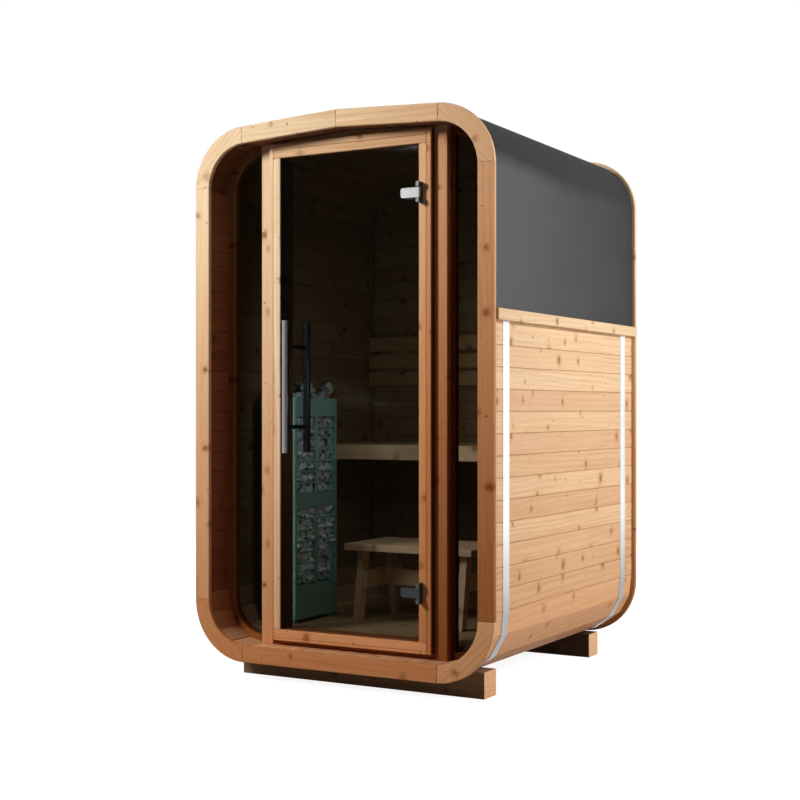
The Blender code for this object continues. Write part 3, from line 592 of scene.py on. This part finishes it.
# split rock: pale faces, darker flecks and a rough surface
def stoneFinish(name):
    finish, tree = newFinish(name)
    place = objectPlace(tree)
    mottle = noise(tree, place, *stone["mottleNoise"])
    fleck = noise(tree, place, *stone["fleckNoise"])
    pale, deep = rgba(stone["pale"]), rgba(stone["deep"])
    base = blended(tree, spread(tree, mottle, stone["mottleSpan"]), pale, deep)
    base = blended(tree, spread(tree, fleck, stone["fleckSpan"], (0.0, stone["fleckDepth"])),
                   base, deep)
    soot = spread(tree, axisOf(tree, place, 2), stone["sooty"], (1.0, stone["sootShare"]))
    base = tinted(tree, base, grey(tree, soot))
    rough = spread(tree, fleck, noiseSpan, stone["roughness"])
    height = maths(tree, "ADD", mottle, product(tree, fleck, stone["bumpFlecks"]))
    relief = bumped(tree, height, *stone["bump"])
    return shaded(finish, tree, base, rough,
                  {"Normal": relief, "Specular IOR Level": stone["gloss"]})


print("frame loaded, helpers ready")

# finishes that several pieces share
# the staves, corners and porch floor take painted shade near the ground
staveWood = woodFinish("staveWood", tint=(0.945, 0.99, 1.03), paintedFalloff=(0.58, 0.0, 0.0))
cornerWood = woodFinish("cornerWood", tint=(1.04, 1.05, 1.0), paintedFalloff=(0.62, 0.0, 0.0),
                        look={**wood, "falloffHeight": (0.60, 0.1)})
# the upper corners take a darker painted shade on their faces in the porch
upperCornerWood = woodFinish("upperCornerWood", paintedFalloff=(0.5, 0.0, 0.0),
                             look={**wood, "porch": (0.20, 0.11, 0.08)})
porchFloorWood = woodFinish("porchFloorWood", tint=(1.15, 1.18, 1.15), paintedFalloff=(0.58, 0.0, 0.0))
insideFloorWood = woodFinish("insideFloorWood", tint=(0.54, 0.505, 0.44))
glass = glassFinish("tintedGlass")
roofSheet = sheetFinish("roofSheet")
stoneGrey = stoneFinish("heaterStone")
# painted shade: the bands darken toward the ground
bandSteel = steelFinish("bandSteel", (0.93, 0.94, 0.96), 0.34, 0.6, metal["band"],
                        paintedShadeFall=("z", 0.30, 0.62, 0.42))
# painted shade: the outer handle darkens on the side that turns right
satinSteel = steelFinish("satinSteel", (0.34, 0.34, 0.335), 0.22, 1.0, metal["upright"],
                         paintedTurnShading=("x", -0.15, 0.55, 0.25))
# a darker copy of the handle's steel for the inner handle: painted shade and reflection, darker still
# on the side that turns right
shadedHandleSteel = steelFinish("shadedHandleSteel", (0.045, 0.075, 0.075), 0.26, 0.8, metal["upright"],
                         paintedTurnShading=("x", -0.15, 0.45, 0.2))
darkMetal = steelFinish("darkMetal", (0.05, 0.06, 0.06), 0.38, 0.3, metal["upright"])
clampSteel = steelFinish("clampSteel", (0.50, 0.50, 0.50), 0.50, 0.1, metal["crosswise"])
# a darker copy of the clamp's steel for the lower clamp: painted shade
shadedClampSteel = steelFinish("shadedClampSteel", (0.020, 0.023, 0.027), 0.34, 0.5, metal["crosswise"])
# painted shade on the heater's left part, and painted light on the faces that turn to the front
heaterSteel = steelFinish("heaterSteel", (0.31, 0.65, 0.57), 0.36, 0.4, metal["sheet"],
                          paintedShadeFall=("x", -0.412, -0.408, 0.2), paintedTurnShading=("y", -0.5, -0.8, 1.5))


# where the staves run: the same row of flats as the shell of the cabin
shell = {
    "cornerX": 0.405,
    "lowCentre": 0.297,
    "highCentre": 1.847,
    "radius": 0.225,
    "outer": 0.016,
    "inner": 0.058,
    "slope": math.radians(2.9),
    "lowTurn": math.radians(73.0),
    "lowCount": 3,
    "highCount": 4,
    "wallJoint": 0.0255,
    "front": -0.6667,
    "back": 0.6667,
    "wallBoards": 20,
    "floorBoards": 11,
    "roofBoards": 5,
    "groove": 0.0024,
    "longEdge": 1.0,        # edges longer than this run along the stave
    "innerSkin": 0.004,     # how deep the inner side of a stave reaches
    "lowInnerShade": (0.0, 0.15, 0.45, 0.8),     # how much painted shade the inner faces take, from the floor up
}
thickness = shell["inner"] - shell["outer"]


# the joints between the flats, at one depth in the shell, anticlockwise from the floor's right end
def shellFlats(inset):
    x, low, high = shell["cornerX"], shell["lowCentre"], shell["highCentre"]
    radius = shell["radius"] - shell["outer"]
    right = []
    for step in range(shell["lowCount"] + 1):
        angle = shell["lowTurn"] * step / shell["lowCount"]
        right.append((x + radius * math.sin(angle), low - radius * math.cos(angle)))
    right.append((x + radius, low + shell["wallJoint"]))
    for step in range(shell["highCount"] + 1):
        angle = (math.pi / 2 - shell["slope"]) * step / shell["highCount"]
        right.append((x + radius * math.cos(angle), high + radius * math.sin(angle)))
    peak = high + radius / math.cos(shell["slope"]) + x * math.tan(shell["slope"])
    line = [Vector(p) for p in right + [(0.0, peak)] + [(-a, b) for a, b in reversed(right)]]
    moved = []
    for index, here in enumerate(line):
        arriving = (here - line[index - 1]).normalized()
        leaving = (line[(index + 1) % len(line)] - here).normalized()
        first = Vector((-arriving.y, arriving.x))
        second = Vector((-leaving.y, leaving.x))
        inward = (first + second).normalized()
        moved.append(here + inward * (inset - shell["outer"]) / inward.dot(first))
    return moved


# one stave lying along Y: its outer face on top, its sides cut to the two joints
def cutStave(width, leftIn, rightIn):
    stave = addBlock("stave", (-width / 2, shell["front"], -thickness),
                     (width / 2, shell["back"], 0.0))
    for side, shift in ((-1, leftIn), (1, rightIn)):
        if abs(shift) > slack["shift"]:
            pick(stave, vertTest=lambda p: p.x * side > 0 and p.z < -thickness / 2)
            bpy.ops.transform.translate(value=(-side * shift, 0.0, 0.0))
            bpy.ops.object.mode_set(mode="OBJECT")
    softEdges(stave, shell["groove"], lambda a, b: abs(a.y - b.y) > shell["longEdge"])
    return stave


# runs are flats with their number of boards; the last list says how much painted shade each takes
# inside
def layStaves(name, node, runs, finish, innerShades):
    outside, inside = shellFlats(shell["outer"]), shellFlats(shell["inner"])
    count = len(outside)
    laid = []
    patterns = {}
    for (flat, boards), inner in zip(runs, innerShades):
        a, b = outside[flat % count], outside[(flat + 1) % count]
        along = (b - a).normalized()
        inward = Vector((-along.y, along.x))
        pitch = (b - a).length / boards
        startIn = (inside[flat % count] - a).dot(along)
        endIn = (b - inside[(flat + 1) % count]).dot(along)
        for index in range(boards):
            leftIn = startIn if index == 0 else 0.0
            rightIn = endIn if index == boards - 1 else 0.0
            key = (round(pitch, 5), round(leftIn, 5), round(rightIn, 5))
            if key not in patterns:
                patterns[key] = cutStave(pitch, leftIn, rightIn)
            middle = a + along * pitch * (index + 0.5)
            stave = copyOf(patterns[key])
            markBoard(stave, lambda p: -thickness + slack["joint"] < p.z < -slack["joint"],
                      lambda p: p.z < -thickness + shell["innerSkin"], inner)
            # across the stave, along the cabin, then out of the shell
            turn = Matrix(((along.x, 0.0, -inward.x, middle.x),
                           (0.0, 1.0, 0.0, 0.0),
                           (along.y, 0.0, -inward.y, middle.y),
                           (0.0, 0.0, 0.0, 1.0)))
            stave.data.transform(turn)
            if turn.to_3x3().determinant() < 0:
                stave.data.flip_normals()
            laid.append(stave)
    for pattern in patterns.values():
        discard(pattern)
    whole = joined(laid, name)
    paint(whole, finish)
    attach(whole, "cabin")
    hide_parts(node)


wallFlat = shell["lowCount"] + 1
highFirst = wallFlat + 1
roofFirst = highFirst + shell["highCount"]
lastFlat = 2 * roofFirst + 1                    # the mirrored row ends here
lowRow, highRow = range(wallFlat), range(highFirst, roofFirst)
roofRuns = [(flat, shell["roofBoards"]) for flat in (roofFirst, roofFirst + 1)]
dark = [1.0] * shell["highCount"]               # inner faces that take painted shade all over

staveRows = (
    ("rightWallBoards", "right_wall_staves", [(wallFlat, shell["wallBoards"])], staveWood, dark),
    ("leftWallBoards", "left_wall_staves", [(lastFlat - wallFlat, shell["wallBoards"])],
     staveWood, dark),
    ("lowerRightStaves", "lower_right_corner_staves", [(i, 1) for i in lowRow], cornerWood,
     shell["lowInnerShade"]),
    ("lowerLeftStaves", "lower_left_corner_staves", [(lastFlat - i, 1) for i in lowRow],
     cornerWood, shell["lowInnerShade"]),
    ("upperRightStaves", "upper_right_corner_staves", [(i, 1) for i in highRow],
     upperCornerWood, dark),
    ("upperLeftStaves", "upper_left_corner_staves", [(lastFlat - i, 1) for i in highRow],
     upperCornerWood, dark),
    ("roofBoards", "roof_staves", roofRuns, staveWood, dark),
    ("porchFloorBoards", "floor_staves", [(lastFlat + 1, shell["floorBoards"])],
     porchFloorWood, [0.0]),
)
for row in staveRows:
    layStaves(*row)
print("shell boards laid")


# panels cut into boards: the axis across the boards, where the row of joints starts from the
# panel's low end, and the pitch of the boards; inner is how much painted shade the faces inside take
panels = {
    "back_wall": {"name": "backWallBoards", "across": "z", "start": 0.006, "pitch": 0.0762,
                  "groove": 0.0024, "finish": staveWood, "inner": 1.0},
    "floor_panel": {"name": "insideFloorBoards", "across": "y", "start": -0.001, "pitch": 0.094,
                    "groove": 0.0020, "finish": insideFloorWood, "inner": 0.0},
}
backMiddle = 0.549          # the middle of the back wall: its faces before this are inside
leastBoard = 0.6            # a last board below this share of the pitch joins its neighbour
overrun = 0.001             # the outermost joints lie just outside the panel
longEdge = 0.05             # edges longer than this run along the board


def reachOf(board, index):
    places = [vert.co[index] for vert in board.data.vertices]
    return min(places), max(places)


def cutAt(board, index, level, keepAbove):
    point, normal = [0.0, 0.0, 0.0], [0.0, 0.0, 0.0]
    point[index], normal[index] = level, 1.0
    pick(board, faceTest=lambda face: True)
    bpy.ops.mesh.bisect(plane_co=point, plane_no=normal, use_fill=True,
                        clear_inner=keepAbove, clear_outer=not keepAbove)
    bpy.ops.object.mode_set(mode="OBJECT")


# boards cut out of a plain CAD panel, one slice for each board
def sliceBoards(node, panel):
    index = axes[panel["across"]]
    low, high = (corner[index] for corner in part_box(node))
    joints = [low + panel["start"]]
    while joints[-1] < high - panel["pitch"] * leastBoard:
        joints.append(joints[-1] + panel["pitch"])
    joints[0], joints[-1] = low - overrun, high + overrun

    source = copyOf(nodes[node])
    source.parent = None
    for key in list(source.keys()):
        del source[key]
    pick(source, faceTest=lambda face: True)
    bpy.ops.mesh.remove_doubles(threshold=slack["points"])
    bpy.ops.mesh.tris_convert_to_quads()
    bpy.ops.object.mode_set(mode="OBJECT")
    slices = []
    for start, end in zip(joints, joints[1:]):
        board = copyOf(source)
        for level, keepAbove in ((start, True), (end, False)):
            first, last = reachOf(board, index)
            if first < level < last:
                cutAt(board, index, level, keepAbove)
        first, last = reachOf(board, index)

        def isLongJoint(a, b):
            flat = abs(a[index] - b[index]) < slack["level"]
            atJoint = min(abs(a[index] - first), abs(a[index] - last)) < slack["level"]
            return flat and atJoint and abs(a.x - b.x) > longEdge

        softEdges(board, panel["groove"], isLongJoint)
        markBoard(board, lambda p: min(p[index] - first, last - p[index]) < slack["joint"],
                  lambda p: p.y < backMiddle, panel["inner"], "x", panel["across"])
        slices.append(board)
    discard(source)
    whole = joined(slices, panel["name"])
    paint(whole, panel["finish"])
    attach(whole, "cabin")
    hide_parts(node)


for node, panel in panels.items():
    sliceBoards(node, panel)
print("back wall and floor boards cut")


rock = {
    "kinds": 8,
    "radius": 0.0285,
    "rough": 0.011,
    "seed": 3,
    "flatter": math.radians(16),    # faces that turn less than this become one
    "spare": 1.06,                  # room for a stone, for its radius
    "row": 0.044,
    "rowsOver": 0.03,               # how far the rows may stand over the bed
    "deep": 6,                      # stones in a row, from front to rear
    "setBack": 0.25,                # every other row, as a share of a step
    "topGaps": 0.45,                # share of places that stay empty in the top row
    "size": (0.80, 1.0),
    "bulge": 0.005,                 # how far the stones push out into the slots
    "jitter": (0.002, 0.004),       # across and up
}


# one angular stone: a ball whose points are pushed about, wrapped in its hull
def splitStone(kind):
    letGo()
    bpy.ops.mesh.primitive_ico_sphere_add(subdivisions=2, radius=rock["radius"],
                                          location=(0.0, 0.0, 0.0))
    piece = bpy.context.active_object
    piece.name = f"stone{kind}"
    bpy.ops.object.mode_set(mode="EDIT")
    bpy.ops.mesh.select_all(action="SELECT")
    bpy.ops.transform.vertex_random(offset=rock["rough"], uniform=1.0, normal=0.0,
                                    seed=rock["seed"] + kind)
    bpy.ops.mesh.convex_hull(delete_unused=True, use_existing_faces=False)
    bpy.ops.mesh.select_all(action="SELECT")
    bpy.ops.mesh.dissolve_limited(angle_limit=rock["flatter"])
    bpy.ops.mesh.quads_convert_to_tris()
    bpy.ops.mesh.normals_make_consistent(inside=False)
    bpy.ops.object.mode_set(mode="OBJECT")
    return piece


# rows of stones two across and six deep, every other row set back a little
def fillHeater():
    low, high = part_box("heater_stones")
    kinds = [splitStone(kind) for kind in range(rock["kinds"])]
    reach = rock["radius"] * rock["spare"]
    depth = high.y - low.y - 2 * reach
    steps = rock["deep"] - 1 + rock["setBack"]
    sideways, upward = rock["jitter"]
    stones = []
    rows = int((high.z - low.z + rock["rowsOver"]) / rock["row"])
    for row in range(rows + 1):
        z = low.z + reach + row * rock["row"]
        for x in (low.x + reach, high.x - reach + rock["bulge"]):
            for step in range(rock["deep"]):
                y = low.y + reach + depth * (step + rock["setBack"] * (row % 2)) / steps
                if row >= rows and dice.random() < rock["topGaps"]:
                    continue
                size = dice.uniform(*rock["size"])
                turn = Euler([dice.uniform(0, 2 * math.pi) for _ in range(3)])
                spot = Vector((x + dice.uniform(-sideways, sideways), y,
                               z + dice.uniform(-upward, upward)))
                matrix = (Matrix.Translation(spot) @ turn.to_matrix().to_4x4()
                          @ Matrix.Scale(size, 4))
                stones.append(copyOf(kinds[dice.randrange(len(kinds))], matrix))
    for kind in kinds:
        discard(kind)
    heap = joined(stones, "heaterRocks")
    paint(heap, stoneGrey)
    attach(heap, "cabin")
    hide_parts("heater_stones")


fillHeater()
print("heater filled")


# the wooden CAD pieces: along the grain, across it, tone, tint and the painted shade of the falloff
upright = ((0, 0, 1), (1, 0, 0))
level = ((1, 0, 0), (0, 0, 1))
lengthwise = ((0, 1, 0), (0, 0, 1))
risingRight = ((1, 0, 1), (-1, 0, 1))
fallingRight = ((1, 0, -1), (1, 0, 1))
front = (0.97, 0.45)            # painted shade near the ground, and toward the right
# no painted shade of the falloff indoors
indoors = (0.0, 0.0, 0.0)
grains = {
    "front_ring_left_side": (*upright, 0.15, white, (0.92, 0.45, 0.0)),
    "front_ring_right_side": (*upright, 0.65, (1.10, 1.12, 1.12), (*front, 0.12)),
    "front_ring_bottom": (*level, 0.7, white, (*front, 0.0)),
    "front_ring_top_left": ((1, 0, 0.05), (0, 0, 1), 0.1, white, (*front, 0.0)),
    "front_ring_top_right": ((1, 0, -0.05), (0, 0, 1), 0.1, (1.05, 1.03, 1.0), (*front, 0.0)),
    "front_ring_upper_left_corner": (*risingRight, 0.1, white, (*front, 0.0)),
    "front_ring_upper_right_corner": (*fallingRight, 0.2, (1.06, 1.05, 1.03), (*front, 0.0)),
    "front_ring_lower_left_corner": (*fallingRight, 0.6, white, (*front, 0.0)),
    "front_ring_lower_right_corner": (*risingRight, 0.3, (1.08, 1.08, 1.05), (*front, -0.2)),
    "rear_ring_left": (*upright, 0.4, white, (0.8, 0.0, 0.0)),
    "rear_ring_right": (*upright, 0.4, white, (0.8, 0.0, 0.0)),
    "left_post": (*upright, 0.4, (0.95, 0.95, 0.97), (*front, -0.16)),
    "right_post": (*upright, 0.7, (0.98, 0.97, 0.96), (*front, 0.3)),
    "front_wall_header": (*level, 0.4, white, (*front, -0.2)),
    "front_wall_sill": (*level, 0.7, white, (*front, 0.1)),
    "casing_head": (*level, 0.5, (0.92, 0.90, 0.88), (*front, 0.15)),
    "casing_foot": (*level, 0.4, (1.08, 1.08, 1.08), (*front, -0.1)),
    "casing_left_stile": (*upright, 0.05, (1.05, 1.06, 1.08), (*front, -0.33)),
    "casing_right_stile": (*upright, 0.4, (1.12, 1.14, 1.14), (*front, 0.2)),
    "casing_left_edge": (*upright, 0.3, white, (*front, 0.0)),
    "casing_right_edge": (*upright, 0.7, white, (*front, 0.3)),
    # painted shade: the window frames are tinted dark for the shadow in the porch
    "left_window_frame": (*upright, 0.5, (0.42, 0.35, 0.28), (*front, 0.4)),
    "right_window_frame": (*upright, 0.5, (0.24, 0.17, 0.13), (*front, 0.3)),
    "left_batten": (*lengthwise, 0.1, (0.9, 0.9, 0.9), (0.2, 0.0, 0.0)),
    "right_batten": (*lengthwise, 0.1, (0.9, 0.9, 0.9), (0.2, 0.0, 0.0)),
    "front_beam": (*level, 0.3, (1.04, 0.90, 0.825), (0.3, 0.0, 0.0)),
    "rear_beam": (*level, 0.3, (1.05, 0.94, 0.87), (0.2, 0.0, 0.0)),
    "bench": (*level, 0.1, (0.71, 0.69, 0.66), indoors),
    "backrest": (*level, 0.3, (0.39, 0.338, 0.27), indoors),
    "stool_top": ((1, 0, 0), (0, 1, 0), 0.1, (0.79, 0.78, 0.76), indoors),
    "stool_legs": (*upright, 0.1, (0.85, 0.84, 0.82), indoors),
}

# painted shade on pieces: darker near the ground, behind their front face, or on their long sides
darker = {
    "front_ring_right_side": {"paintedGroundShade": 0.52},
    "right_post": {"paintedGroundShade": 0.57},
    "casing_right_stile": {"paintedGroundShade": 0.20, "shade": 0.17},
    "casing_right_edge": {"paintedGroundShade": 0.20, "shade": 0.18},
    "casing_left_stile": {"shade": 0.10},
    "casing_head": {"shade": 0.25},
    "casing_foot": {"shade": 0.45},
    "right_window_frame": {"paintedGroundShade": 0.5},
    "rear_ring_left": {"paintedGroundShade": 0.42},
    "rear_ring_right": {"paintedGroundShade": 0.42},
    # painted shade on the beams' long sides, which lie in the cabin's shadow
    "front_beam": {"paintedSideShade": (0.35, 0.37, 0.38)},
    "rear_beam": {"paintedSideShade": (0.08, 0.07, 0.065)},
}

# the knots of these pieces are darker and closer than those of the staves
frameWood = {**wood, "knot": (0.17, 0.07, 0.022), "knotRim": (0.42, 0.21, 0.08),
             "big": {**wood["big"], "clear": 0.20}}

for name, (along, across, tone, tint, paintedFalloff) in grains.items():
    shift = [toss.uniform(0, grainShift["pieces"]) for _ in range(3)]
    finish = woodFinish(name + "Wood", grainTurn(along, across), shift, tone, tint, paintedFalloff,
                        look=frameWood, **darker.get(name, {}))
    paint(nodes[name], finish)

others = {
    "door_glass": glass,
    "left_window_pane": glass,
    "right_window_pane": glass,
    "front_band": bandSteel,
    "rear_band": bandSteel,
    "outer_handle": satinSteel,
    "inner_handle": shadedHandleSteel,
    "upper_clamp": clampSteel,
    "lower_clamp": shadedClampSteel,
    "upper_hinge_plate": darkMetal,
    "lower_hinge_plate": darkMetal,
    "heater_cage": heaterSteel,
    "roof_cover": roofSheet,
}
for name, finish in others.items():
    paint(nodes[name], finish)
print("finishes given to the CAD pieces")


room = {
    "world": 0.060,             # light of the world on the object
    "floorSize": 60.0,
    "floorColour": 0.30,
    "floorNoise": (1.5, 2.0),
    "floorMottle": 1.06,
    "floorGlow": (0.90, 1.0),   # white added to what is seen of the floor, under its shadow
    "glowSpan": (0.8, 3.0),     # from near the cabin to far away
}


# the rays that see the white of the world and the floor
def backgroundSeen(tree):
    path = addNode(tree, "ShaderNodeLightPath").outputs
    seen = maths(tree, "MAXIMUM", path["Is Camera Ray"], path["Is Glossy Ray"])
    return maths(tree, "MAXIMUM", seen, path["Is Transmission Ray"])


# white all round for those rays; the lamps and a dim world light the object
def buildWorld():
    world = bpy.data.worlds.new("room")
    bpy.context.scene.world = world
    world.use_nodes = True
    tree = world.node_tree
    tree.nodes.clear()
    seen = backgroundSeen(tree)
    dim = addNode(tree, "ShaderNodeBackground", {"Color": rgba(white), "Strength": room["world"]})
    bright = addNode(tree, "ShaderNodeBackground", {"Color": rgba(white), "Strength": 1.0})
    mixed = addNode(tree, "ShaderNodeMixShader",
                    {0: seen, 1: dim.outputs[0], 2: bright.outputs[0]})
    addNode(tree, "ShaderNodeOutputWorld", {"Surface": mixed.outputs[0]})


def addFloor():
    letGo()
    bpy.ops.mesh.primitive_plane_add(size=room["floorSize"], location=(0.0, 0.0, 0.0))
    floor = bpy.context.active_object
    floor.name = "floor"
    finish, tree = newFinish("paleFloor")
    place = objectPlace(tree)
    away = vectorMaths(tree, "LENGTH", place)
    glow = spread(tree, away, room["glowSpan"], room["floorGlow"])
    pale = [room["floorColour"]] * 3
    paler = [level * room["floorMottle"] for level in pale]
    ground = blended(tree, noise(tree, place, *room["floorNoise"]), rgba(pale), rgba(paler))
    matt = addNode(tree, "ShaderNodeBsdfDiffuse", {"Color": ground})
    added = addNode(tree, "ShaderNodeEmission", {"Color": rgba(white), "Strength": glow})
    both = addNode(tree, "ShaderNodeAddShader", {0: matt.outputs[0], 1: added.outputs[0]})
    mixed = addNode(tree, "ShaderNodeMixShader",
                    {0: backgroundSeen(tree), 1: matt.outputs[0], 2: both.outputs[0]})
    addNode(tree, "ShaderNodeOutputMaterial", {"Surface": mixed.outputs[0]})
    paint(floor, finish)


lamps = {
    "keyLamp": {"place": (-2.45, -4.45, 3.35), "aim": (-0.50, -0.68, 1.75), "size": 1.1,
                "power": 43.0, "spread": 78.0},
    "sideLamp": {"place": (3.5, 0.40, 1.8), "aim": (0.63, 0.0, 1.10), "size": 1.5,
                 "power": 103.0, "spread": 180.0},
    "backLamp": {"place": (-3.4, 3.6, 2.9), "aim": (-0.4, 0.4, 1.0), "size": 2.2,
                 "power": 190.0, "spread": 180.0},
    "insideLamp": {"place": (0.08, -0.55, 1.15), "aim": (-0.10, 0.3, 0.65), "size": 0.30,
                   "power": 1.25, "spread": 180.0},
}


def addLamp(name, look):
    letGo()
    bpy.ops.object.light_add(type="AREA", location=look["place"])
    lamp = bpy.context.active_object
    lamp.name = name
    lamp.data.shape = "SQUARE"
    lamp.data.size = look["size"]
    lamp.data.energy = look["power"]
    lamp.data.spread = math.radians(look["spread"])
    toward = Vector(look["aim"]) - Vector(look["place"])
    lamp.rotation_euler = toward.to_track_quat("-Z", "Y").to_euler()
    lamp.visible_camera = False     # it lights, but isn't seen itself


camera = {
    "place": (2.7079, -4.9724, 1.0162),
    "turn": (math.pi / 2, 0.0, 0.5178),
    "lens": 63.59,
    "sensor": 36.0,
    "rise": 0.0116,
    "far": 200.0,
}


def addCamera():
    letGo()
    bpy.ops.object.camera_add(location=camera["place"], rotation=camera["turn"])
    eye = bpy.context.active_object
    eye.data.lens = camera["lens"]
    eye.data.sensor_width = camera["sensor"]
    eye.data.shift_y = camera["rise"]
    eye.data.clip_end = camera["far"]
    bpy.context.scene.camera = eye


buildWorld()
addFloor()
for name, look in lamps.items():
    addLamp(name, look)
addCamera()
bpy.context.scene.view_settings.view_transform = "Standard"
print("room, lamps and camera placed")

letGo()
